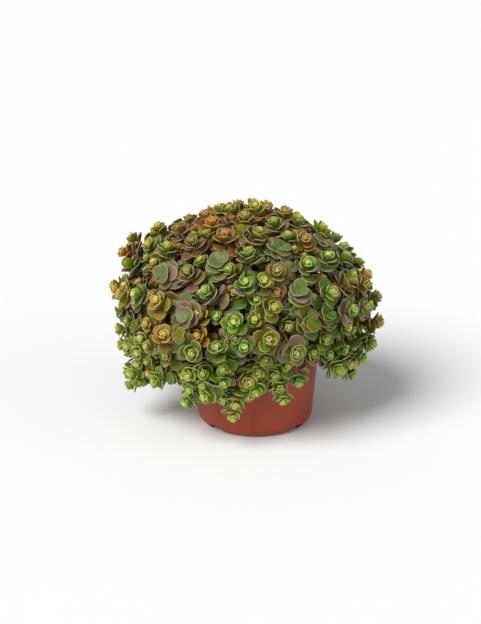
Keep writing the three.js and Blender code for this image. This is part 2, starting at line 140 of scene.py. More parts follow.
def square_to(vectors, axis):
    """The part of each vector that is square to its unit axis, as unit vectors."""
    vectors, axis = np.asarray(vectors, float), np.asarray(axis, float)
    return unit(vectors - axis * np.sum(vectors * axis, axis=-1, keepdims=True))


def turned(vectors, axis, angle):
    """Vectors turned about a unit axis by an angle in radians."""
    angle = np.asarray(angle, float)[..., None]
    along = axis * np.sum(np.asarray(vectors) * axis, axis=-1, keepdims=True)
    return vectors * np.cos(angle) + np.cross(axis, vectors) * np.sin(angle) + along * (1 - np.cos(angle))


def smooth_step(value, low, high):
    """0 below low, 1 above high, and smooth between them."""
    share = np.clip((value - low) / (high - low), 0, 1)
    return share * share * (3 - 2 * share)


def on_curve(curve, at):
    """Points of a cubic Bezier curve at each share of it."""
    at = np.atleast_1d(np.asarray(at, float))[:, None]
    a, b, c, d = curve
    return a * (1 - at) ** 3 + 3 * b * at * (1 - at) ** 2 + 3 * c * at**2 * (1 - at) + d * at**3


def tangent(curve, at):
    """Unit directions of a cubic Bezier curve at each share of it."""
    at = np.atleast_1d(np.asarray(at, float))[:, None]
    a, b, c, d = curve
    return unit((b - a) * (1 - at) ** 2 + 2 * (c - b) * at * (1 - at) + (d - c) * at**2)


def run_along(points):
    """How far along a line of points each of them lies."""
    return np.concatenate([[0], np.cumsum(np.linalg.norm(np.diff(points, axis=0), axis=1))])


def degrees_apart(first, second):
    """How far the first azimuth lies past the second, from -180 to 180."""
    return (first - second + 180) % 360 - 180


def local_angle(rule, azimuth):
    """An angle that is full at one azimuth and falls off to either side, in degrees."""
    centre, spread, angle = rule
    return angle * math.exp(-((degrees_apart(azimuth, centre) / spread) ** 2))


def outward_and_side(azimuth):
    """The ways that point out from the pot's axis at an azimuth, and level across that."""
    outward = heading(azimuth, 0)
    return outward, np.array([-outward[1], outward[0], 0.0])


# The plant's layout


def mound_radius(directions):
    """How far the mound reaches from its middle in each direction."""
    directions = np.asarray(directions, float)
    rise = np.maximum(0, directions[..., 2]) ** MOUND.flatness
    radius = MOUND.reach - (MOUND.reach - MOUND.crown) * rise
    for azimuth, elevation, spread, swell in SWELLS:
        apart = degrees_between(directions, azimuth, elevation) / spread
        radius = radius + swell * np.exp(-(apart**2))
    return radius


def on_mound(directions):
    """Points of the mound's surface in each direction from its middle."""
    return directions * mound_radius(directions)[..., None] + MOUND.middle


def skirt_angle(azimuth):
    """How far from the zenith the mound's foliage reaches at an azimuth, in degrees."""
    return MOUND.skirt - local_angle(SKIRT_LIFT, azimuth) + local_angle(SKIRT_DROP, azimuth)


def mound_directions(count):
    """Directions spread over the mound in a sunflower spiral."""
    directions = []
    for i in range(count):
        azimuth = math.degrees((i + 1) * GOLDEN_ANGLE) + MOUND.spiral_start
        drop = ((i + 0.5) / count) * (1 - math.cos(math.radians(skirt_angle(azimuth))))
        directions.append(heading(azimuth, 90 - math.degrees(math.acos(1 - drop))))
    return np.array(directions)


def tips_around(direction, seed):
    """The first places of a stem's tips, round its own direction."""
    side = square_to(np.array([1.0, 0.0, 0.0]) if abs(direction[2]) > 0.9 else UP, direction)
    centre = direction * mound_radius(direction)
    count = MOUND.tips_per_stem
    turns = [(draw(seed) + i / count) * FULL_TURN for i in range(count)]
    return on_mound(unit(np.array([turned(side, direction, t) * MOUND.cluster + centre for t in turns])))


def settle(tips, homes, fixed):
    """Tips push each other apart until each has room, and stay on the mound near their own stem."""
    for _ in range(SETTLING.rounds):
        move = np.zeros_like(tips)
        for others, share in ((tips, SETTLING.push), (fixed, SETTLING.push_from_trails)):
            away = tips[:, None] - others[None]
            apart = np.linalg.norm(away, axis=2)
            short = np.where(apart > 0, np.maximum(0, SETTLING.spacing - apart), 0) * share
            move += (unit(away) * short[..., None]).sum(axis=1)
        back = homes - tips
        stray = np.maximum(0, np.linalg.norm(back, axis=1) - MOUND.cluster)
        move += unit(back) * (stray * SETTLING.pull)[:, None]
        tips = on_mound(unit(tips + move - MOUND.middle))
    return tips


def skyward(base, axis):
    """A tip's own axis: near the mound's top it turns to the sky, and low on a trailing stem it hangs."""
    lift = 0.25 * smooth_step(base[2], 85, 110) + 0.45 * smooth_step(base[2], 125, 160)
    lift += 0.5 * smooth_step(base[2], 155, 178) - 0.55 * smooth_step(-base[2], -62, -38)
    return unit(axis + UP * lift)


def leaning(axis, degrees, seed):
    """An axis that leans over by a seeded angle, to a seeded side."""
    rng = np.random.default_rng(int(seed) + LEAN_SEED)
    side = turned(square_to(ASIDE, axis), axis, rng.uniform(0, FULL_TURN))
    return turned(axis, side, math.radians(np.clip(rng.normal(0, degrees), -2 * degrees, 2 * degrees)))


def shoot_of(fork, base, axis, size, seed):
    """A leafy tip: where its twig leaves the stem, where it stands, which way it faces, and its size."""
    return {"fork": fork, "base": base, "axis": axis, "size": size, "seed": seed}


def trailing_stem(index):
    """A stem that arches over the rim and hangs, with side shoots left and right of it in turn."""
    azimuth, radius, height, count = TRAILS[index]
    outward, side = outward_and_side(azimuth)
    curve = np.array([
        outward * TRAIL.root + UP * SOIL_TOP,
        outward * TRAIL.root + UP * (SOIL_TOP + TRAIL.arch),
        outward * (radius + TRAIL.over_rim_out) + UP * (POT_TOP + TRAIL.over_rim),
        outward * (radius - TRAIL.hang_in) + UP * (height + TRAIL.hang),
    ])
    seed = TRAIL.first_seed + index * 10
    shoots = []
    for i in range(count):
        place = (i + (TRAIL.most_side_shoots + 1 - count) / 2) / TRAIL.most_side_shoots
        fork = TRAIL.first_fork + (TRAIL.last_fork - TRAIL.first_fork) * place
        sign = -1 if i % 2 else 1
        base = on_curve(curve, fork + TRAIL.side_lead)[0]
        base = base + side * sign * TRAIL.side_offset + outward * TRAIL.side_out
        axis = unit(outward + side * sign * TRAIL.side_turn)
        shoots.append(shoot_of(fork, base, axis, TRAIL.tip_size, seed + i))
    tip = outward * (radius + TRAIL.tip_out) + UP * height
    shoots.append(shoot_of(1.0, tip, heading(azimuth, TRAIL.facing), TRAIL.tip_size, seed + count))
    return {"name": f"trailing_stem_{index + 1:02d}", "curve": curve, "shoots": shoots, "trails": True}


def mound_stem(direction, tips, index):
    """A stem of the mound, which rises from the soil and forks under its tips."""
    azimuth = math.degrees(math.atan2(direction[1], direction[0]))
    share = math.degrees(math.acos(direction[2])) / skirt_angle(azimuth)
    root = heading(azimuth, 0) * MOUND.root * share**MOUND.root_spread + UP * SOIL_TOP
    end = direction * (mound_radius(direction) - MOUND.fork_depth) + MOUND.middle
    length = np.linalg.norm(root - end)
    leave = root + UP * max(MOUND.rise * length, MOUND.least_rise * share)
    arrive = end - direction * MOUND.arrival * length
    shoots = []
    for i, base in enumerate(tips):
        seed = index * 10 + i
        size = MOUND.tip_size * (1 + MOUND.size_spread * (draw(seed + 300) - 0.5))
        axis = unit(unit(base - MOUND.middle) + UP * MOUND.lift)
        shoots.append(shoot_of(MOUND.forks[i], base, axis, size, seed))
    curve = np.array([root, leave, arrive, end])
    return {"name": f"leafy_stem_{index + 1:02d}", "curve": curve, "shoots": shoots, "trails": False}


def corners_of(node):
    """The corners of a solid, in millimetres."""
    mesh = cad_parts[node].data
    corners = np.zeros(len(mesh.vertices) * 3)
    mesh.vertices.foreach_get("co", corners)
    return corners.reshape(-1, 3) / MM


def as_built(stem):
    """The stem with the bend and the side shoots that its solid was given to be clear of the others."""
    corners = corners_of(stem["name"])
    foot = corners[corners[:, 2] < STEM_FOOT + 0.05].mean(axis=0)
    root = stem["curve"][0]
    turn = math.degrees(math.atan2(root[0] * foot[1] - root[1] * foot[0], root[:2] @ foot[:2]))
    bend = math.radians(min(BENDS, key=lambda degrees: abs(degrees - turn)))
    curve = np.array([turned(point, UP, bend * share) for point, share in zip(stem["curve"], BEND_SHARES)])
    kept = []
    for shoot in stem["shoots"]:
        apex = shoot["base"] + shoot["axis"] * APEX_HEIGHT
        if np.linalg.norm(corners - apex, axis=1).min() < 1:
            axis = leaning(skyward(shoot["base"], shoot["axis"]), TIP_LEAN, shoot["seed"])
            kept.append({**shoot, "axis": axis})
    if not kept:
        raise RuntimeError(stem["name"] + " has no leafy tip where its solid has one")
    return {**stem, "curve": curve, "shoots": kept}


def lay_out_stems():
    """All the stems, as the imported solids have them."""
    trails = [trailing_stem(index) for index in range(len(TRAILS))]
    directions = mound_directions(MOUND.stems)
    tips = np.concatenate([tips_around(way, i + 50) for i, way in enumerate(directions)])
    homes = np.repeat(on_mound(directions), MOUND.tips_per_stem, axis=0)
    fixed = np.array([shoot["base"] for stem in trails for shoot in stem["shoots"]])
    tips = settle(tips, homes, fixed).reshape(MOUND.stems, MOUND.tips_per_stem, 3)
    mound = [mound_stem(directions[i], tips[i], i) for i in range(MOUND.stems)]
    return [as_built(stem) for stem in trails + mound]


# Where old growth shows flat round leaves and no young tips: azimuth, elevation and spread in degrees
# from the mound's middle, and how cool the leaves' colour is there.
OLD_GROWTH = (
    (287, 44, 7, 0.74), (300, 42, 7, 0.8), (223, 35, 8, 0.93), (235, 15, 7, 0.98), (307, 8, 8, 0.5),
    (318, 14, 6, 0.55), (323, -5, 7, 0.5), (298, 24, 6, 0.95), (246, 36, 6, 0.78), (30, 40, 9, 0.7),
    (100, 25, 9, 0.9), (140, 45, 8, 0.95), (60, 10, 9, 0.6), (345, 50, 7, 0.75), (170, 10, 6, 0.75),
)
# Where the pot's wall stays bare: from one azimuth to another in degrees, and below which height.
BARE_WALL = (288, 318, 92)
# Side shoots near the rim and below it stand farther out than this.
CLEAR_OF_RIM = 68
# How low the foliage hangs over the pot's wall: azimuth in degrees and height.
CURTAIN = (
    (5, 72), (30, 74), (60, 80), (90, 62), (115, 80), (140, 64), (165, 66), (184, 58), (200, 62),
    (216, 66), (228, 60), (236, 54), (250, 60), (258, 52), (266, 66), (274, 66), (282, 60), (288, 64),
    (293, 82), (300, 96), (318, 92), (330, 70), (345, 64),
)
# Hollows where one looks down to the bare stems: azimuth, elevation and spread in degrees.
HOLLOWS = (
    (283, 37, 4), (305, 28, 5), (262, 15, 3.5), (290, 1, 4), (252, 7, 3), (20, 25, 5), (75, 45, 4),
    (125, 15, 5), (155, 30, 4), (215, 8, 3),
)

# Side shoots are told from the tips of the solids by their seeds.
STRAY_SEED = 1900
FILLER_SEED = 2000
LEAN_SEED = 5000
# How large a tip is that stands proud, the smallest side shoot, how much larger others are, and how much is
# added below the rim.
STRAY_SIZE = 15.5
FILLER_SIZE = 11.5
FILLER_SPREAD = 3.5
FILLER_LOW = 1.5
# How far tips and side shoots lean over at random, in degrees.
TIP_LEAN = 18
FILLER_LEAN = 26
# A side shoot's twig leaves the stem a little before that of the nearest tip.
LEAST_FORK = 0.3
FORK_LEAD = 0.12

# Places where a side shoot may stand, each with the way that it faces there


def mound_places():
    """Places on the mound, at its surface and a little beneath it, with none in the hollows."""
    rng = np.random.default_rng(11)
    ways = mound_directions(1500)
    ways = ways[ways[:, 2] > math.cos(math.radians(98))]
    places = on_mound(ways) - ways * rng.uniform(0, 11, len(ways))[:, None]
    for azimuth, elevation, spread in HOLLOWS:
        clear = degrees_between(ways, azimuth, elevation) > spread + 2
        ways, places = ways[clear], places[clear]
    return zip(places, unit(ways + UP * MOUND.lift))


def hanging_places():
    """Places along the trailing stems, with none where the photograph shows the pot's bare wall."""
    for index, (azimuth, _, height, _) in enumerate(TRAILS):
        curve = trailing_stem(index)["curve"]
        outward, side = outward_and_side(azimuth)
        for share in np.linspace(0.4, 1, 9):
            for across in (-14, -7, 0, 7, 14):
                place = on_curve(curve, share)[0] + side * across + outward * 4
                bare = BARE_WALL[0] < azimuth < BARE_WALL[1] and place[2] < BARE_WALL[2]
                if place[2] >= height + 6 and not bare:
                    yield place, unit(outward + UP * (0.5 - 0.7 * share) + side * across * 0.02)


def curtain_places():
    """Places close over the rim and down the pot's wall, above the lowest tips."""
    azimuths, heights = zip(*CURTAIN)
    for azimuth in range(0, 360, 5):
        _, reach, _, _ = min(TRAILS, key=lambda trail: abs(degrees_apart(azimuth, trail[0])))
        outward = heading(azimuth, 0)
        for height in np.arange(np.interp(azimuth, azimuths, heights, period=360), POT_TOP + 8, 6):
            for radius in (71, 80, 89):
                if radius <= reach + 1:
                    yield outward * radius + UP * height, unit(outward + UP * (height - 78) / 70)


def stray_places():
    """Places behind each tip that stands proud, so that it joins the rest."""
    for azimuth, radius, height, facing in STRAYS:
        outward, side = outward_and_side(azimuth)
        tip = outward * radius + UP * height
        inward = unit(MOUND.middle - tip)
        for back in (11, 20):
            for across in (-9, 0, 9):
                yield tip + inward * back + side * across, heading(azimuth, facing)


def fill_gaps(stems, spacing):
    """Adds the tips that stand proud, then side shoots until no gap is wider than the spacing."""
    tips = [(stem, shoot) for stem in stems for shoot in stem["shoots"]]
    bases = np.array([shoot["base"] for _, shoot in tips])

    def add_shoot(place, axis, size, seed):
        """Adds a side shoot to the stem that has the nearest tip."""
        owner, beside = tips[int(np.linalg.norm(bases - place, axis=1).argmin())]
        fork = max(LEAST_FORK, beside["fork"] - FORK_LEAD)
        owner["shoots"].append(shoot_of(fork, place, axis, size, seed))

    for index, (azimuth, radius, height, facing) in enumerate(STRAYS):
        place = heading(azimuth, 0) * radius + UP * height
        add_shoot(place, heading(azimuth, facing), STRAY_SIZE, STRAY_SEED + index)
    found = [*mound_places(), *hanging_places(), *curtain_places(), *stray_places()]
    places, facings = (np.array(column) for column in zip(*found))
    clear = (places[:, 2] > POT_TOP + 6) | (np.linalg.norm(places[:, :2], axis=1) > CLEAR_OF_RIM)
    places, facings = places[clear], facings[clear]
    taken = np.array([shoot["base"] for stem in stems for shoot in stem["shoots"]])
    gaps = np.linalg.norm(places[:, None] - taken[None], axis=2).min(axis=1)
    seed = FILLER_SEED
    while gaps.max() > spacing:
        best = int(gaps.argmax())
        place = places[best]
        size = FILLER_SIZE + FILLER_SPREAD * draw(seed) + (FILLER_LOW if place[2] < POT_TOP else 0)
        add_shoot(place, leaning(skyward(place, facings[best]), FILLER_LEAN, seed), size, seed)
        gaps = np.minimum(gaps, np.linalg.norm(places - place, axis=1))
        seed += 1


# Meshes are gathered from parts: points, faces, the material of each face, and a value for each point

LEAF_FACTS = ("age", "rim", "tip", "sun", "tint", "run")
# The places of a stem piece's materials.
LEAF_SKIN, STEM_BARK = 0, 1


class Growth:
    """The points and faces of one piece, gathered part by part."""

    def __init__(self):
        self.points, self.faces, self.finishes = [], [], []
        self.facts = {name: [] for name in LEAF_FACTS}
        self.count = 0

    def add(self, points, faces, finish, **facts):
        points, faces = points.reshape(-1, 3), faces.reshape(-1, 3)
        self.points.append(points)
        self.faces.append(faces + self.count)
        self.finishes.append(np.full(len(faces), finish, np.int32))
        for name, values in self.facts.items():
            value = np.asarray(facts.get(name, 0.0), float).reshape(-1)
            values.append(np.broadcast_to(value, len(points)))
        self.count += len(points)

    def piece(self, name, materials):
        mesh = bpy.data.meshes.new(name)
        mesh.from_pydata(np.concatenate(self.points) * MM, [], np.concatenate(self.faces))
        mesh.polygons.foreach_set("material_index", np.concatenate(self.finishes))
        mesh.shade_smooth()
        for fact, values in self.facts.items():
            values = np.concatenate(values)
            if values.any():
                mesh.attributes.new(fact, "FLOAT", "POINT").data.foreach_set("value", values)
        return add_piece(name, mesh, materials)


def add_object(name, data):
    """A new object in the scene."""
    made = bpy.data.objects.new(name, data)
    bpy.context.scene.collection.objects.link(made)
    return made


def add_piece(name, mesh, materials):
    """An object with a mesh and its materials, in the scene."""
    for material in materials:
        mesh.materials.append(material)
    return add_object(name, mesh)


def ring_of(sides):
    """The numbers of a ring's points, those of the points after them, and the points' angles."""
    here = np.arange(sides)
    return here, (here + 1) % sides, here / sides * FULL_TURN


def triangles(*corners):
    """Triangles from the numbers of their first, second and third corners."""
    return np.stack(np.broadcast_arrays(*corners), axis=1)


# Leaves

# Points round a leaf, then its rings from the middle of its face over the rim to its back: each ring's share
# of the outline and of the thickness.
FULL_LEAF = (16, ((0.55, 0.98), (0.93, 0.55), (1, 0), (0.86, -0.7)))
SMALL_LEAF = (11, ((0.68, 0.95), (1, 0), (0.8, -0.75)))
# The leaf's widest place as a share of its length, how sharply it narrows to its foot, and its blunt tip.
LEAF_WAIST = 0.6
LEAF_NARROWING = 1.9
LEAF_POINT = 0.035
# How steeply a tip's leaves rise in degrees, and how long they are against the tip, from the bud outwards.
LEAF_SHARES = (0, 0.25, 0.5, 0.75, 1)
LEAF_RISE = (84, 71, 55, 33, 8)
LEAF_LENGTH = (0.24, 0.36, 0.5, 0.62, 0.74)
# How large the leaves along the stems are, how far apart they stand on each kind of stem and twig, and from
# which share of a stem's curve they grow.
STEM_LEAF_SIZE = 15.5
TWIG_SPACING = 5.5
STRAY_SPACING = 3.6
TRAIL_LEAVES = (0.4, 3.4)
MOUND_LEAVES = (0.62, 5.0)
# Only leaves longer than this, less deep in the mound or lower than this height get all their faces.
FULL_LENGTH = 8.5
FULL_DEPTH = 14
FULL_HEIGHT = 85
# Old growth: where its leaves start in a tip's run, how much flatter and larger they are, and its odds.
OLD_START = 0.62
OLD_RISE = 0.45
OLD_SIZE = 1.22
OLD_ODDS = 0.16


def leaf_pattern(sides, rings):
    """A leaf's points as shares, by angle round the leaf and share of the outline, and its faces."""
    here, after, angles = ring_of(sides)
    outline, thickness = zip(*rings)
    angle = np.concatenate([[0.0], *[angles] * len(rings), [0.0]])
    share = np.concatenate([[0.0], np.repeat(outline, sides), [0.0]])
    level = np.concatenate([[1.0], np.repeat(thickness, sides), [-1.0]])
    rim = np.where(level > 0, share, np.where(share == 1, 1.0, share * 0.9))
    faces = [triangles(0, here + 1, after + 1)]
    for low in range(1, 1 + (len(rings) - 1) * sides, sides):
        high = low + sides
        faces.append(triangles(low + here, high + here, high + after))
        faces.append(triangles(low + here, high + after, low + after))
    last = 1 + (len(rings) - 1) * sides
    faces.append(triangles(last + here, last + sides, last + after))
    return angle, share, level, rim, np.concatenate(faces)


def grow_leaves(growth, pattern, leaves, finish):
    """Adds leaves of one pattern. Each row tells one leaf's foot, ways, sizes, shape and colours."""
    angle, share, level, rim, faces = leaf_pattern(*pattern)
    count = len(leaves["root"])
    if count == 0:
        return
    cos, sin = np.cos(angle), np.sin(angle)
    narrow = np.where(cos < 0, np.abs(sin) ** LEAF_NARROWING, np.abs(sin)) * np.sign(sin)
    names = ("length", "width", "thick", "cup", "curl", "wave", "wave_two", "wave_three")
    length, width, thick, cup, curl, wave, two, three = (leaves[name][:, None] for name in names)
    uneven = 1 + wave * np.sin(2 * angle + two * ANY_TURN)
    uneven = uneven + wave * 0.7 * np.sin(3 * angle + three * ANY_TURN)
    reach = np.where(cos >= 0, 1 - LEAF_WAIST + LEAF_POINT * np.maximum(cos, 0) ** 10, LEAF_WAIST)
    ahead = LEAF_WAIST + share * reach * cos * np.where(cos >= 0, uneven, 1)
    across = share * narrow * uneven / 2
    z = level * thick / 2 * (0.55 + 0.45 * np.minimum(1, ahead * 1.6))
    z = z + cup * width * (2 * across) ** 2
    z = z + curl * length * ahead**2
    x = ahead * length - np.abs(curl) ** 2 * length * ahead**3 * 0.6
    points = leaves["root"][:, None] + x[..., None] * leaves["along"][:, None]
    points = points + (across * width)[..., None] * leaves["side"][:, None]
    points = points + z[..., None] * leaves["over"][:, None]
    offsets = (np.arange(count) * len(angle))[:, None, None]
    facts = {name: np.repeat(leaves[name], len(angle)) for name in ("age", "sun", "tint")}
    growth.add(points, faces[None] + offsets, finish, rim=np.tile(rim, count), tip=ahead, **facts)


def leaf_rows(rng, root, outward, axis, rise, length, **shape):
    """Gathers leaves into rows, with a little roll and an outline that is never quite even."""
    climb, flat = np.sin(rise)[:, None], np.cos(rise)[:, None]
    along = outward * flat + axis * climb
    over = axis * flat - outward * climb
    side = np.cross(over, along)
    count = len(length)
    roll = rng.normal(0, 0.13, count)[:, None]
    rows = {
        "root": root,
        "along": along,
        "over": over * np.cos(roll) + side * np.sin(roll),
        "side": side * np.cos(roll) - over * np.sin(roll),
        "length": length,
        "wave": rng.uniform(0.005, 0.035, count),
        "wave_two": rng.random(count),
        "wave_three": rng.random(count),
    }
    return rows | {name: np.broadcast_to(np.asarray(value, float), count) for name, value in shape.items()}


def sunlit(point, seed):
    """How much sun a tip has had, from 0 in the shade to 1: it bronzes the leaves on the mound's top."""
    x, _, z = point
    height = 0.28 * smooth_step(z, 80, 120) + 0.42 * smooth_step(z, 150, 186)
    leftward = 0.1 * smooth_step(-x, 0, 90) - 0.1 * smooth_step(x, 10, 80)
    leftward += 0.08 * smooth_step(-x, 10, 70) * smooth_step(z, 120, 160)
    luck = (0.35 + 0.65 * smooth_step(z, 70, 110)) * (draw(seed + 0.7) - 0.5)
    return np.clip(height + leftward + luck, 0, 1)


def freshness(point):
    """How young all the leaves of a tip are, from 0 on the mound to 1 on the tips that hang low."""
    return smooth_step(-point[2], -100, -62)


def old_growth(shoot):
    """Whether a shoot has lost its young tip, and how cool its leaves' colour is, from 0 to 1."""
    seed = shoot["seed"]
    way = unit(shoot["base"] - MOUND.middle)
    for azimuth, elevation, spread, cool in OLD_GROWTH:
        if degrees_between(way, azimuth, elevation) < spread:
            return True, cool
    return bool(seed >= FILLER_SEED and draw(seed + 0.9) < OLD_ODDS), draw(seed + 0.3)


def rosette(shoot, settings):
    """The leaves of a leafy tip: a tight young bud, then leaves that open, grow and round off outwards."""
    seed, axis, base = shoot["seed"], shoot["axis"], shoot["base"]
    rng = np.random.default_rng(int(seed) + 1)
    size = shoot["size"] * (1 - 0.2 * smooth_step(-base[2], -60, -40))
    openness = rng.uniform(-1, 1)
    fresh = freshness(base)
    old, cool = old_growth(shoot)
    first = 0
    if old:
        first = OLD_START
        axis = unit(axis + unit(base - MOUND.middle) * 1.2 + UP * 0.3)
        size = size * OLD_SIZE
    count = int(settings.leaves_per_tip + rng.integers(-2, 2)) - (6 if old else 0)
    order = np.arange(count)
    share = first + (1 - first) * order / (count - 1)
    turn = rng.uniform(0, ANY_TURN) + order * GOLDEN_ANGLE + rng.normal(0, 0.09, count)
    outward = turned(np.repeat(square_to(ASIDE, axis)[None], count, axis=0), axis, turn)
    rise = np.interp(share, LEAF_SHARES, LEAF_RISE) * (OLD_RISE if old else 1)
    rise = np.radians(rise - 12 * openness * share + rng.normal(0, 2 + 6 * share, count))
    length = size * np.interp(share, LEAF_SHARES, LEAF_LENGTH) * rng.uniform(0.88, 1.08, count)
    width = length * (0.84 + 0.14 * share) * rng.uniform(0.93, 1.07, count)
    height = (APEX_HEIGHT - 3 * share - 8.5 * share**2.1) * size / MOUND.tip_size
    # Old leaves lie over one another like coins, some across the middle.
    start = rng.uniform(-4.5, 1.5, count) if old else np.full(count, 0.9)
    root = base + axis * height[:, None] + outward * start[:, None]
    cup = 0.24 - 0.17 * share + rng.normal(0, 0.02, count)
    curl = 0.24 - 0.3 * share + rng.normal(0, 0.02, count)
    age = 0.5 + 0.5 * share if old else share * (1 - 0.34 * fresh) + 0.13 * fresh
    age = age + rng.normal(0, 0.05, count)
    sun = sunlit(base, seed) * (0.4 if old else 1) + rng.normal(0, 0.05 + 0.1 * share, count)
    tint = 0.85 * cool + 0.15 * rng.random(count)
    return leaf_rows(
        rng, root, outward, axis, rise, length, width=width, cup=cup, curl=curl,
        thick=settings.leaf_thickness / MM * (0.7 + 0.3 * share),
        age=np.clip(age, 0, 1), sun=np.clip(sun, 0, 1), tint=np.clip(tint, 0, 1),
    )


def side_leaves(curve, start, stop, spacing, seed, size, settings):
    """Older, rounder leaves on short stalks along a stem or twig."""
    rng = np.random.default_rng(int(seed) + 7)
    shares = np.linspace(0, 1, 33)
    run = run_along(on_curve(curve, shares))
    count = int(run[-1] * (stop - start) / spacing)
    if count < 1:
        return None
    order = np.arange(count)
    at = start + (stop - start) * (order + rng.uniform(0.2, 0.8, count)) / count
    at = np.interp(at * run[-1], run, shares)
    axis = tangent(curve, at)
    turn = rng.uniform(0, ANY_TURN) + order * GOLDEN_ANGLE + rng.normal(0, 0.25, count)
    outward = unit(turned(square_to(np.repeat(ASIDE[None], count, axis=0), axis), axis, turn))
    rise = np.radians(rng.normal(20, 9, count))
    length = size * rng.uniform(0.66, 0.9, count)
    base = on_curve(curve, at)
    return leaf_rows(
        rng, base + outward * 0.8, outward, axis, rise, length,
        width=length * rng.uniform(0.92, 1.06, count),
        thick=settings.leaf_thickness / MM,
        cup=rng.normal(0.02, 0.03, count),
        curl=rng.normal(-0.06, 0.04, count),
        age=rng.uniform(0.8, 1, count) - 0.25 * freshness(base.T),
        sun=[sunlit(point, seed) * 0.8 for point in base],
        tint=np.clip(0.5 * draw(seed + 0.3) + 0.5 * rng.random(count), 0, 1),
    )


# Stems and twigs


def grow_tube(growth, points, radii, sides, finish, **facts):
    """Adds a closed tube along points, with its rings turned as little as can be."""
    here, after, angles = ring_of(sides)
    ahead = unit(np.gradient(points, axis=0))
    arm = square_to(ASIDE, ahead[0])
    rings = []
    for point, way, radius in zip(points, ahead, radii):
        arm = square_to(arm, way)
        other = np.cross(way, arm)
        rings.append(point + radius * (np.cos(angles)[:, None] * arm + np.sin(angles)[:, None] * other))
    last = (len(points) - 1) * sides
    faces = []
    for low in range(0, last, sides):
        high = low + sides
        faces.append(triangles(low + here, low + after, high + after))
        faces.append(triangles(low + here, high + after, high + here))
    foot = last + sides
    faces += [triangles(after, here, foot), triangles(last + here, last + after, foot + 1)]
    run = run_along(points)
    run = np.concatenate([np.repeat(run, sides), run[:1], run[-1:]])
    corners = np.concatenate([*rings, points[:1], points[-1:]])
    growth.add(corners, np.concatenate(faces), finish, run=run, **facts)


def twig_of(stem, shoot):
    """The curve of a twig, from its stem to the foot of its tip, arriving along the tip's own axis."""
    base, fork = shoot["base"], shoot["fork"]
    start = on_curve(stem["curve"], fork)[0]
    way = tangent(stem["curve"], fork)[0]
    reach = np.linalg.norm(base - start)
    leave = way if fork >= 1 else unit(square_to(base - start, way) + way * 0.5)
    return np.array([start, start + leave * reach * 0.35, base - shoot["axis"] * reach * 0.35, base])


def grow_stem(stem, settings, materials):
    """One leafy stem as a piece: the stem, its twigs, and all their leaves."""
    growth = Growth()
    curve, first = stem["curve"], stem["shoots"][0]
    sun = sunlit(first["base"], 1)
    thick = settings.stem_radius / MM
    shares = np.linspace(0, 1, 16)
    foot = curve[0] * np.array([1, 1, 0]) + UP * (STEM_FOOT + 0.3)
    points = np.concatenate([foot[None], on_curve(curve, shares)])
    radii = thick * np.concatenate([[1], 1 - 0.4 * shares])
    grow_tube(growth, points, radii, 8, STEM_BARK, sun=sun, age=0.9, tint=draw(first["seed"]))
    batches = []
    shares = np.linspace(0, 1, 8)[:-1]
    radii = thick * np.concatenate([0.66 - 0.2 * shares, [0.3]])
    for shoot in stem["shoots"]:
        size, seed = shoot["size"], shoot["seed"]
        twig = twig_of(stem, shoot)
        old, _ = old_growth(shoot)
        top = shoot["base"] + shoot["axis"] * (-2.5 if old else 5 * size / MOUND.tip_size)
        path = np.concatenate([on_curve(twig, shares), top[None]])
        grow_tube(growth, path, radii, 6, STEM_BARK, sun=sun, age=0.5, tint=draw(seed))
        batches.append(rosette(shoot, settings))
        spacing = STRAY_SPACING if STRAY_SEED <= seed < FILLER_SEED else TWIG_SPACING
        batches.append(side_leaves(twig, 0.3, 0.93, spacing, seed, size * 0.95, settings))
    start, spacing = TRAIL_LEAVES if stem["trails"] else MOUND_LEAVES
    batches.append(side_leaves(curve, start, 0.99, spacing, first["seed"], STEM_LEAF_SIZE, settings))
    batches = [rows for rows in batches if rows]
    rows = {name: np.concatenate([batch[name] for batch in batches]) for name in batches[0]}
    # Small leaves, and those deep in the mound, need fewer faces.
    inward = rows["root"] - MOUND.middle
    depth = mound_radius(unit(inward)) - np.linalg.norm(inward, axis=1)
    seen = (depth < FULL_DEPTH) | (rows["root"][:, 2] < FULL_HEIGHT)
    large = seen & (rows["length"] > FULL_LENGTH)
    for pattern, chosen in ((FULL_LEAF, large), (SMALL_LEAF, ~large)):
        grow_leaves(growth, pattern, {name: value[chosen] for name, value in rows.items()}, LEAF_SKIN)
    return growth.piece(stem["name"] + "_grown", materials)


# Materials


def linear(code):
    """An sRGB hex colour as linear red, green, blue and alpha."""
    channels = [int(code[i : i + 2], 16) / 255 for i in (1, 3, 5)]
    return (*[c / 12.92 if c <= 0.04045 else ((c + 0.055) / 1.055) ** 2.4 for c in channels], 1.0)


def shade(colour, share=1.0):
    """A colour setting made lighter or darker, with its alpha."""
    return (*[channel * share for channel in colour], 1.0)


def add_node(tree, kind, inputs, output=0, stops=(), **settings):
    """Adds a node with its settings, and gives back one of its outputs.

    Each input is a constant or another node's output, by place or by name. Stops are a colour ramp's.
    """
    node = tree.nodes.new("ShaderNode" + kind)
    for name, value in settings.items():
        setattr(node, name, value)
    for name, value in inputs.items() if isinstance(inputs, dict) else enumerate(inputs):
        if isinstance(value, bpy.types.NodeSocket):
            tree.links.new(value, node.inputs[name])
        else:
            node.inputs[name].default_value = value
    for index, (place, colour) in enumerate(stops):
        elements = node.color_ramp.elements
        element = elements[index] if index < 2 else elements.new(1)
        element.position = place
        element.color = linear(colour) if isinstance(colour, str) else colour
    return node.outputs[output] if node.outputs else None


def new_material(name):
    """An empty node material, and a function that adds nodes to it."""
    material = bpy.data.materials.new(name)
    material.use_nodes = True
    material.node_tree.nodes.clear()
    return material, partial(add_node, material.node_tree)


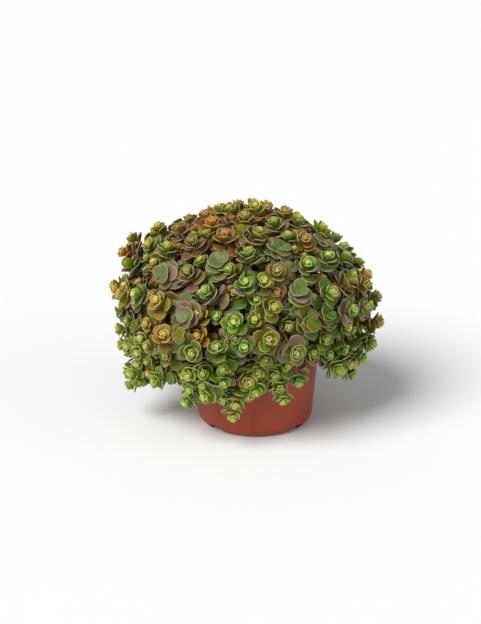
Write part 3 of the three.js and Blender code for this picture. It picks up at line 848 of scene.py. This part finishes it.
def leaf_material(settings):
    """Sedum leaf, grown with a thin coat of wax.

    The wax gives a soft, uneven gloss and a grey bloom on old leaves, the thin rim is painted pale, partly
    its own cream colour and partly a painted highlight where light comes through it, and sun turns the skin
    to bronze from the tip inwards.
    """
    material, add = new_material("sedum leaf, waxy skin")
    names = ("age", "rim", "tip", "sun", "tint")
    age, rim, tip, sun, tint = (add("Attribute", {}, "Fac", attribute_name=name) for name in names)
    place = add("TexCoord", {}, "Object")
    # Blotches about 3 mm across in the skin's colour.
    blotches = add("TexNoise", {"Vector": place, "Scale": 1 / 0.003, "Detail": 2.0, "Roughness": 0.55})
    # Leaves darken with age from the pale bud outwards; the darkest stops, for the oldest leaves, are also
    # painted shade, for the shade that falls deep among the outer leaves.
    stops = ((0, shade(settings.young_colour)), (0.3, "#B4B446"), (0.62, "#708A14"), (1, "#48540C"))
    warm = add("ValToRGB", [age], stops=stops)
    stops = ((0, "#C0D47A"), (0.3, "#84B048"), (0.62, shade(settings.grown_colour)), (1, "#285212"))
    cool = add("ValToRGB", [age], stops=stops)
    green = add("Mix", {0: tint, 6: warm, 7: cool}, 2, data_type="RGBA")
    # The warmest tips are golden.
    gold = add("MapRange", (tint, 0.22, 0.05, 0.0, 0.8))
    stops = ((0, "#DCC858"), (0.35, "#C49A40"), (0.7, "#8E6A28"), (1, "#5A4620"))
    golden = add("ValToRGB", [age], stops=stops)
    green = add("Mix", {0: gold, 6: green, 7: golden}, 2, data_type="RGBA")
    # Old leaves take a mauve grey bloom, more on some than on others.
    old = add("MapRange", (age, 0.62, 1.0, 0.0, 1.0))
    patchy = add("MapRange", (tint, 0.5, 0.95, 0.0, 0.85))
    bloom = add("Math", (old, patchy), operation="MULTIPLY")
    stops = ((0.55, "#728852"), (0.76, "#8E8A68"), (0.97, shade(settings.old_colour)))
    waxen = add("ValToRGB", [tint], stops=stops)
    bloomed = add("Mix", {0: bloom, 6: green, 7: waxen}, 2, data_type="RGBA")
    # Sun bronzes a leaf from its tip inwards, more in some blotches than in others.
    outer = add("Math", (tip, 0.8, 0.15), operation="MULTIPLY_ADD")
    uneven = add("MapRange", (blotches, 0.35, 0.65, 0.7, 1.3))
    sunned = add("Math", (sun, uneven), operation="MULTIPLY")
    bronzing = add("Math", (sunned, outer), operation="MULTIPLY", use_clamp=True)
    stops = ((0, "#C47A1C"), (0.45, shade(settings.sun_colour)), (1, "#5E1C12"))
    bronze = add("ValToRGB", [tint], stops=stops)
    tanned = add("Mix", {0: bronzing, 6: bloomed, 7: bronze}, 2, data_type="RGBA")
    # The skin is lighter and darker in blotches, and yellower where it is lighter.
    tone = add("MapRange", (blotches, 0.32, 0.68, 0.8, 1.2))
    hue = add("MapRange", (blotches, 0.32, 0.68, 0.508, 0.492))
    mottled = add("HueSaturation", {"Hue": hue, "Value": tone, "Color": tanned})
    # The thin rim is painted paler: partly its own colour, cream on young leaves and coral on old ones, and
    # partly a painted highlight where light comes through the thin edge.
    pale_rim_and_highlight = add("MapRange", (rim, 0.9, 0.985, 0.0, 0.78))
    pale = add("ValToRGB", [age], stops=((0, "#E8E09A"), (0.5, shade(settings.rim_colour)), (1, "#B0927C")))
    with_rim_highlight = add("Mix", {0: pale_rim_and_highlight, 6: mottled, 7: pale}, 2, data_type="RGBA")
    # Wax is worn and rubbed in patches, so the gloss is uneven.
    gloss = add("MapRange", (blotches, 0.3, 0.7, 0.36, 0.54))
    bump = add("Bump", {"Strength": 0.25, "Distance": 0.0003, "Height": blotches})
    skin = {
        "Base Color": with_rim_highlight,
        "Roughness": gloss,
        "Normal": bump,
        "IOR": 1.43,
        "Specular IOR Level": 0.27,
        "Subsurface Weight": 0.08,
        "Subsurface Radius": (1.0, 0.9, 0.35),
        "Subsurface Scale": 0.0012,
    }
    add("OutputMaterial", [add("BsdfPrincipled", skin)])
    return material


def stem_material(settings):
    """Sedum stem, young and fleshy.

    The flesh is pinkish brown and nearly matt, and each fallen leaf has left a darker ring.
    """
    material, add = new_material("sedum stem, young bark")
    run, sun = (add("Attribute", {}, "Fac", attribute_name=name) for name in ("run", "sun"))
    # A leaf scar every 5 mm along the stem.
    phase = add("Math", (run, FULL_TURN / 5), operation="MULTIPLY")
    scars = add("Math", [phase], operation="SINE")
    ring = add("MapRange", (scars, 0.75, 1.0, 0.0, 0.6))
    flesh = add("ValToRGB", [sun], stops=((0, shade(settings.stem_colour)), (1, "#8A4B38")))
    scarred = add("Mix", {0: ring, 6: flesh, 7: linear("#4A3326")}, 2, data_type="RGBA")
    bark = {"Base Color": scarred, "Roughness": 0.6, "IOR": 1.43}
    add("OutputMaterial", [add("BsdfPrincipled", bark)])
    return material


def pot_material(settings):
    """Polypropylene, injection moulded and coloured right through.

    The mould leaves a satin skin with faint flow marks up the wall, and specks of potting dust cling to it.
    """
    material, add = new_material("polypropylene, injection moulded")
    place = add("TexCoord", {}, "Object")
    # Flow marks about 12 mm wide, drawn out up the wall, and specks of dust about 1 mm across.
    stretched = add("Mapping", {"Vector": place, "Scale": (1, 1, 0.25)})
    flow = add("TexNoise", {"Vector": stretched, "Scale": 1 / 0.012, "Detail": 3.0, "Roughness": 0.5})
    specks = add("TexNoise", {"Vector": place, "Scale": 1 / 0.001, "Detail": 4.0, "Roughness": 0.7})
    stops = ((0.3, shade(settings.colour, 0.93)), (0.7, shade(settings.colour, 1.09)))
    body = add("ValToRGB", [flow], stops=stops)
    dusty = add("MapRange", (specks, 0.6, 0.8, 0.0, 0.25))
    colour = add("Mix", {0: dusty, 6: body, 7: linear("#B98A70")}, 2, data_type="RGBA")
    satin = add("MapRange", (flow, 0.3, 0.7, 0.4, 0.52))
    bump = add("Bump", {"Strength": 0.15, "Distance": 0.0001, "Height": specks})
    plastic = {
        "Base Color": colour,
        "Roughness": satin,
        "Normal": bump,
        "IOR": 1.49,
        "Specular IOR Level": 0.35,
    }
    add("OutputMaterial", [add("BsdfPrincipled", plastic)])
    return material


def soil_material(settings):
    """Peat potting soil, crumbled and damp.

    It is matt, almost black where it is wet, with paler dry crumbs and fibres.
    """
    material, add = new_material("peat, crumbled and damp")
    place = add("TexCoord", {}, "Object")
    # Crumbs about 2 mm across.
    crumbs = add("TexNoise", {"Vector": place, "Scale": 1 / 0.002, "Detail": 5.0, "Roughness": 0.7})
    stops = ((0.35, "#17100B"), (0.55, shade(settings.colour)), (0.75, "#5A4430"))
    colour = add("ValToRGB", [crumbs], stops=stops)
    bump = add("Bump", {"Strength": 0.8, "Distance": 0.001, "Height": crumbs})
    peat = {"Base Color": colour, "Roughness": 0.9, "Normal": bump}
    add("OutputMaterial", [add("BsdfPrincipled", peat)])
    return material


def paper_material(settings):
    """Studio paper, matt.

    It is an even pale tone with next to no gloss.
    """
    material, add = new_material("studio paper, matt")
    paper = {"Base Color": shade(settings.floor_colour), "Roughness": 0.95, "Specular IOR Level": 0.1}
    add("OutputMaterial", [add("BsdfPrincipled", paper)])
    return material


# The pot

# The radii of the heel's and the lip's arcs, across and up.
HEEL = (8.3, 8.0)
LIP = (1.1, 1.1)
# The drain notches: half their width, the radius of their upper corners, the height that their cutters start
# at, how far out from the axis these reach, and the first one's azimuth in degrees.
NOTCH = SimpleNamespace(count=4, half_width=7.5, corner=2.5, below=-2.0, inner=37.0, outer=64.0, first=45)


def arc(centre, radii, start, stop, count):
    """Points of an arc in the profile's plane, from one angle to another in degrees."""
    angles = np.radians(np.linspace(start, stop, count))
    return [(centre[0] + radii[0] * math.cos(a), centre[1] + radii[1] * math.sin(a)) for a in angles]


def pot_profile():
    """The pot's profile: foot, rounded heel, tapered wall, rim band with a rolled lip, and the inside."""
    foot = [(0, 0.5), (35.5, 0.5), (36.5, 0.0), (41.8, 0.0)]
    heel = arc((42.6, 8.0), HEEL, -86, 0, 14)
    wall = [(54.0, 45), (57.0, 76), (58.5, 91.2)]
    band = [(58.7, 91.9), (59.4, 92.5), (59.9, 93.2), (60.0, 94.2), *arc((58.9, 98.9), LIP, 0, 180, 9)]
    inside = [(57.7, 93.0), (57.3, 91.0), (55.8, 76), (49.8, 10), (46.5, 2.6), (43.5, 1.3), (0, 1.2)]
    return foot + heel + wall + band + inside


def lathe(profile, sides):
    """A profile of radius and height, turned round Z, whose two ends lie on the axis."""
    here, after, angles = ring_of(sides)
    rings = [(r * np.cos(angles), r * np.sin(angles), np.full(sides, z)) for r, z in profile[1:-1]]
    ends = [[(0, 0, profile[0][1])], [(0, 0, profile[-1][1])]]
    points = np.concatenate([*(np.stack(ring, axis=1) for ring in rings), *ends])
    foot = len(rings) * sides
    last = foot - sides
    faces = []
    for i, j in zip(here.tolist(), after.tolist()):
        faces.append((foot, j, i))
        faces += [(low + i, low + j, low + sides + j, low + sides + i) for low in range(0, last, sides)]
        faces.append((last + i, last + j, foot + 1))
    return points, faces


def notch_cutters(height):
    """The arched drain notches that are cut through the heel, as one mesh."""
    width, corner = NOTCH.half_width, NOTCH.corner
    outline = [(-width, NOTCH.below), (width, NOTCH.below)]
    outline += arc((width - corner, height - corner), (corner, corner), 0, 90, 5)
    outline += arc((corner - width, height - corner), (corner, corner), 90, 180, 5)
    count = len(outline)
    points, faces = [], []
    for index in range(NOTCH.count):
        outward, side = outward_and_side(NOTCH.first + 360 / NOTCH.count * index)
        near = len(points)
        far = near + count
        for out in (NOTCH.inner, NOTCH.outer):
            points += [outward * out + side * across + UP * z for across, z in outline]
        faces += [list(range(far - 1, near - 1, -1)), list(range(far, far + count))]
        for i in range(count):
            after = (i + 1) % count
            faces.append([near + i, near + after, far + after, far + i])
    return np.array(points), faces


def mesh_of(name, points, faces):
    """A mesh from points in millimetres."""
    mesh = bpy.data.meshes.new(name)
    mesh.from_pydata(points * MM, [], faces)
    return mesh


def build_pot(settings):
    """The pot with its drain notches cut."""
    whole = add_object("pot_whole", mesh_of("pot_whole", *lathe(pot_profile(), settings.sides)))
    cutter = add_object("notches", mesh_of("notches", *notch_cutters(settings.notch_height / MM)))
    cut = whole.modifiers.new("notches", "BOOLEAN")
    cut.object = cutter
    cut.operation = "DIFFERENCE"
    cut.solver = "EXACT"
    graph = bpy.context.evaluated_depsgraph_get()
    mesh = bpy.data.meshes.new_from_object(whole.evaluated_get(graph))
    for made in (whole, cutter):
        bpy.data.objects.remove(made)
    mesh.name = "moulded_pot"
    mesh.shade_smooth()
    mesh.set_sharp_from_angle(angle=math.radians(40))
    return add_piece("moulded_pot", mesh, [pot_material(settings)])


# The soil

# The soil's surface: its height, its radius, how uneven it is, and how far it sinks towards the wall.
SURFACE = SimpleNamespace(height=89.0, radius=57, bumps=0.5, sink=1.0, sink_from=35, crumbs_out=55)


def crumb_pattern():
    """A ball of twenty faces, which each crumb is dented from."""
    golden = (1 + math.sqrt(5)) / 2
    pairs = [(-1, golden), (1, golden), (-1, -golden), (1, -golden)]
    points = [(a, b, 0) for a, b in pairs] + [(0, a, b) for a, b in pairs] + [(b, 0, a) for a, b in pairs]
    points = unit(points)
    near = np.linalg.norm(points[:, None] - points[None], axis=2) < 1.1
    faces = []
    for a, b, c in combinations(range(len(points)), 3):
        if near[a, b] and near[b, c] and near[a, c]:
            outward = np.cross(points[b] - points[a], points[c] - points[a]) @ points[a] > 0
            faces.append((a, b, c) if outward else (a, c, b))
    return points, np.array(faces)


def build_soil(settings):
    """The soil that fills the pot, uneven on top, with loose crumbs on it."""
    rng = np.random.default_rng(5)
    growth = Growth()
    profile = [(0, 1.5), (43, 1.5), (46.2, 3.0), (49.4, 10), (56.7, 88.0)]
    profile += [(radius, SURFACE.height) for radius in (*np.linspace(56.0, 2.0, 28), 0)]
    points, faces = lathe(profile, 96)
    out = np.hypot(points[:, 0], points[:, 1])
    bumps = rng.normal(0, SURFACE.bumps, len(points)) * smooth_step(SURFACE.radius - out, 0, 4)
    sunk = SURFACE.sink * smooth_step(out, SURFACE.sink_from, SURFACE.radius)
    points[:, 2] += np.where(points[:, 2] > SURFACE.height - 0.5, bumps - sunk, 0)
    fans = [(face[0], face[i], face[i + 1]) for face in faces for i in range(1, len(face) - 1)]
    growth.add(points, np.array(fans), 0)
    ball, ball_faces = crumb_pattern()
    for _ in range(settings.crumbs):
        radius = SURFACE.crumbs_out * math.sqrt(rng.random())
        place = heading(rng.uniform(0, 360), 0) * radius + UP * rng.uniform(88.4, 89.6)
        size = settings.crumb_size / MM * rng.uniform(0.3, 1)
        size = size * np.array([1, rng.uniform(0.5, 1), rng.uniform(0.4, 0.9)])
        crumb = ball * rng.uniform(0.75, 1.15, (len(ball), 1)) * size
        crumb = turned(crumb, UP, np.full(len(crumb), rng.uniform(0, ANY_TURN)))
        growth.add(crumb + place, ball_faces, 0)
    return growth.piece("soil_filling", [soil_material(settings)])


# The stage

FLOOR_REACH = 30.0
# The photograph's size in pixels, and the pixel at which the middle of the pot's foot stands.
PHOTO_WIDTH = 481
PHOTO_HEIGHT = 624
FOOT_ACROSS = 255
FOOT_DOWN = 415.5
# How far away the camera is in metres, how high in degrees, and its lens and sensor in millimetres.
CAMERA = SimpleNamespace(distance=1.3, elevation=19.5, lens=83.6, sensor=36.0)


def aim(made, direction):
    """Points a light or camera along a direction."""
    made.rotation_euler = Vector(direction).to_track_quat("-Z", "Y").to_euler()


def place_camera():
    """The camera at the photograph's own viewpoint."""
    pixel = CAMERA.sensor / CAMERA.lens * CAMERA.distance / PHOTO_HEIGHT
    towards = heading(270, CAMERA.elevation)
    right = np.array([1.0, 0, 0])
    up = np.cross(towards, right)
    target = right * ((PHOTO_WIDTH / 2 - FOOT_ACROSS) * pixel) + up * ((FOOT_DOWN - PHOTO_HEIGHT / 2) * pixel)
    camera = bpy.data.cameras.new("photo_camera")
    camera.sensor_fit = "VERTICAL"
    camera.sensor_height = CAMERA.sensor
    camera.lens = CAMERA.lens
    made = add_object("photo_camera", camera)
    made.location = target + towards * CAMERA.distance
    aim(made, -towards)
    bpy.context.scene.camera = made


def build_stage(settings):
    """A pale paper floor, soft light from above and the left, and a camera at the photo's own viewpoint."""
    corners = [(x * FLOOR_REACH, y * FLOOR_REACH, 0) for x, y in ((-1, -1), (1, -1), (1, 1), (-1, 1))]
    mesh = bpy.data.meshes.new("paper_floor")
    mesh.from_pydata(corners, [], [(0, 1, 2, 3)])
    add_piece("paper_floor", mesh, [paper_material(settings)])
    for name, way, strength, spread in (
        ("key_light", heading(228, 46), settings.key_strength, 34),
        ("fill_light", heading(320, 30), settings.fill_strength, 60),
    ):
        lamp = bpy.data.lights.new(name, "SUN")
        lamp.energy = strength
        lamp.angle = math.radians(spread)
        aim(add_object(name, lamp), -way)
    world = bpy.data.worlds.new("studio")
    world.use_nodes = True
    tree = world.node_tree
    # The walls of the studio are as pale as its floor, and less light comes from overhead.
    way = add_node(tree, "TexCoord", {}, "Generated")
    height = add_node(tree, "SeparateXYZ", [way], "Z")
    dome = add_node(tree, "MapRange", (height, 0.06, 0.34, settings.wall_strength, settings.sky_strength))
    background = tree.nodes["Background"]
    tree.links.new(dome, background.inputs["Strength"])
    background.inputs["Color"].default_value = (1, 1, 1, 1)
    scene = bpy.context.scene
    scene.world = world
    scene.view_settings.view_transform = "Standard"
    place_camera()


# The add-on


def colour_setting(name, description, code):
    """A colour that a user may change, from its sRGB hex code."""
    return bpy.props.FloatVectorProperty(
        name=name, description=description, subtype="COLOR", size=3, min=0, max=1, default=linear(code)[:3]
    )


def length_setting(name, description, default):
    """A length in metres that a user may change."""
    return bpy.props.FloatProperty(
        name=name, description=description, default=default, min=0.0001, precision=4, unit="LENGTH"
    )


def strength_setting(name, description, default):
    """A light's strength that a user may change."""
    return bpy.props.FloatProperty(name=name, description=description, default=default, min=0)


class SedumPotSettings(bpy.types.PropertyGroup):
    sides: bpy.props.IntProperty(name="Sides", description="Sides of the round pot", default=144, min=32)
    notch_height: length_setting("Notch height", "Height of the drain notches in the heel", 0.0058)
    colour: colour_setting("Colour", "Colour of the plastic, right through", "#90391D")


class SedumSoilSettings(bpy.types.PropertyGroup):
    crumbs: bpy.props.IntProperty(name="Crumbs", description="Loose crumbs on the soil", default=500, min=0)
    crumb_size: length_setting("Crumb size", "Half the length of the largest crumb", 0.0022)
    colour: colour_setting("Colour", "Colour of the damp soil", "#2E2118")


class SedumStemSettings(bpy.types.PropertyGroup):
    leaves_per_tip: bpy.props.IntProperty(
        name="Leaves per tip", description="Leaves of one leafy tip", default=17, min=10, max=40
    )
    leaf_thickness: length_setting("Leaf thickness", "Thickness of a grown leaf", 0.0016)
    spacing: length_setting("Widest gap", "Side shoots fill gaps wider than this", 0.0131)
    stem_radius: length_setting("Stem radius", "Radius of a stem where it leaves the soil", 0.00175)
    young_colour: colour_setting("Young leaf", "Colour of the youngest leaves of a tip", "#DAD47C")
    grown_colour: colour_setting("Grown leaf", "Colour of a grown leaf in the shade", "#3F7E14")
    old_colour: colour_setting("Old leaf", "Colour of the bloom on an old leaf", "#906860")
    sun_colour: colour_setting("Sunned leaf", "Colour that a leaf takes in the sun", "#9C3E0C")
    # The rim's colour is partly its own and partly a painted highlight where light comes through the thin
    # edge.
    rim_colour: colour_setting("Leaf rim", "Colour of the thin rim", "#D6C692")
    stem_colour: colour_setting("Stem", "Colour of a young stem", "#94684C")


class SedumStageSettings(bpy.types.PropertyGroup):
    floor_colour: colour_setting("Floor colour", "Colour of the paper under the pot", "#F4F4F4")
    key_strength: strength_setting("Key light", "Strength of the main light", 3.3)
    fill_strength: strength_setting("Fill light", "Strength of the light from the right", 0.5)
    sky_strength: strength_setting("Sky", "Strength of the light from above", 0.24)
    wall_strength: strength_setting("Walls", "Strength of the light all round", 0.93)


def add_stems(settings, trailing):
    """Lays out all the stems, and adds either those that trail or those of the mound."""
    stems = lay_out_stems()
    fill_gaps(stems, settings.spacing / MM)
    materials = [leaf_material(settings), stem_material(settings)]
    for stem in stems:
        if stem["trails"] == trailing:
            piece = grow_stem(stem, settings, materials)
            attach(piece, "root")
            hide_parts(stem["name"])


class SEDUM_OT_pot(bpy.types.Operator):
    """Adds the moulded pot in place of its solid"""

    bl_idname = "sedum.pot"
    bl_label = "Add Pot"

    def execute(self, context):
        piece = build_pot(context.scene.sedum_pot)
        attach(piece, "root")
        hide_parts("pot")
        return {"FINISHED"}


class SEDUM_OT_soil(bpy.types.Operator):
    """Adds the crumbled soil in place of its solid"""

    bl_idname = "sedum.soil"
    bl_label = "Add Soil"

    def execute(self, context):
        piece = build_soil(context.scene.sedum_soil)
        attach(piece, "root")
        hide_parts("potting_soil")
        return {"FINISHED"}


class SEDUM_OT_mound_stems(bpy.types.Operator):
    """Adds the leafy stems of the mound, each with all its leaves, in place of their solids"""

    bl_idname = "sedum.mound_stems"
    bl_label = "Add Mound Stems"

    def execute(self, context):
        add_stems(context.scene.sedum_stem, False)
        return {"FINISHED"}


class SEDUM_OT_trailing_stems(bpy.types.Operator):
    """Adds the leafy stems that trail over the rim, each with all its leaves, in place of their solids"""

    bl_idname = "sedum.trailing_stems"
    bl_label = "Add Trailing Stems"

    def execute(self, context):
        add_stems(context.scene.sedum_stem, True)
        return {"FINISHED"}


class SEDUM_OT_stage(bpy.types.Operator):
    """Adds the floor, the lights and the camera"""

    bl_idname = "sedum.stage"
    bl_label = "Add Stage"

    def execute(self, context):
        build_stage(context.scene.sedum_stage)
        return {"FINISHED"}


class SEDUM_PT_panel(bpy.types.Panel):
    """Buttons and settings for each piece, in the order in which they are made"""

    bl_idname = "SEDUM_PT_panel"
    bl_label = "Potted Sedum"
    bl_space_type = "VIEW_3D"
    bl_region_type = "UI"
    bl_category = "Sedum"

    def draw(self, context):
        scene = context.scene
        for operators, settings in (
            (("sedum.pot",), scene.sedum_pot),
            (("sedum.soil",), scene.sedum_soil),
            (("sedum.mound_stems", "sedum.trailing_stems"), scene.sedum_stem),
            (("sedum.stage",), scene.sedum_stage),
        ):
            box = self.layout.box()
            for name in settings.__annotations__:
                box.prop(settings, name)
            for operator in operators:
                box.operator(operator)


SETTINGS = {
    "sedum_pot": SedumPotSettings,
    "sedum_soil": SedumSoilSettings,
    "sedum_stem": SedumStemSettings,
    "sedum_stage": SedumStageSettings,
}
CLASSES = (
    *SETTINGS.values(),
    SEDUM_OT_pot,
    SEDUM_OT_soil,
    SEDUM_OT_mound_stems,
    SEDUM_OT_trailing_stems,
    SEDUM_OT_stage,
    SEDUM_PT_panel,
)


def register():
    for made in CLASSES:
        bpy.utils.register_class(made)
    for name, group in SETTINGS.items():
        setattr(bpy.types.Scene, name, bpy.props.PointerProperty(type=group))


def unregister():
    for name in SETTINGS:
        delattr(bpy.types.Scene, name)
    for made in reversed(CLASSES):
        bpy.utils.unregister_class(made)


def main():
    """Builds every piece and the stage."""
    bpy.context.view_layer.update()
    register()
    bpy.ops.sedum.pot()
    bpy.ops.sedum.soil()
    bpy.ops.sedum.mound_stems()
    bpy.ops.sedum.trailing_stems()
    bpy.ops.sedum.stage()


if __name__ == "__main__":
    main()
